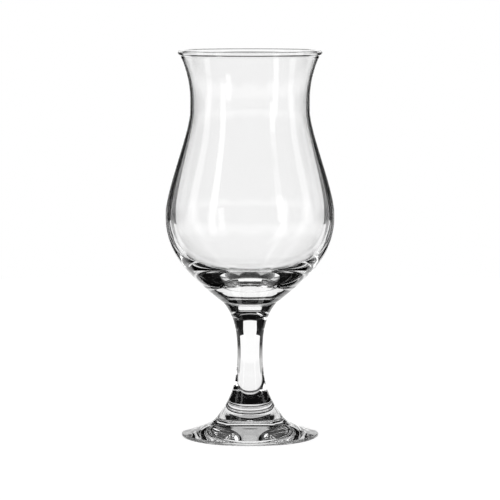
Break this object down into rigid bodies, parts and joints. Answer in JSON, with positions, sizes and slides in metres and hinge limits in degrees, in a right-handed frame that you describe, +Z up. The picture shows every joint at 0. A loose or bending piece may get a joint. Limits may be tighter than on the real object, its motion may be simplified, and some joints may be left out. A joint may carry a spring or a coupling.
{
  "type": "poco grande glass",
  "caption": "Clear stemmed drinking glass: a deep tulip bowl with a drawn-in waist and flared beaded rim on a thick base, a short solid stem and a round foot.",
  "frame": {"origin": "centre of the flat underside on which the foot stands, in the plane of the table", "axes": "+Z up the axis of revolution, from the foot to the rim; X and Y lie in the table's plane"},
  "size_m": [0.079, 0.079, 0.181],
  "materials": {
    "foot_glass": "clear pressed glass, fire-polished",
    "stem_glass": "clear pressed glass, fire-polished",
    "bowl_glass": "clear blown glass, fire-polished rim"
  },
  "bodies": {
    "root": {"foot": "foot_glass", "stem": "stem_glass", "bowl": "bowl_glass"}
  },
  "joints": []
}
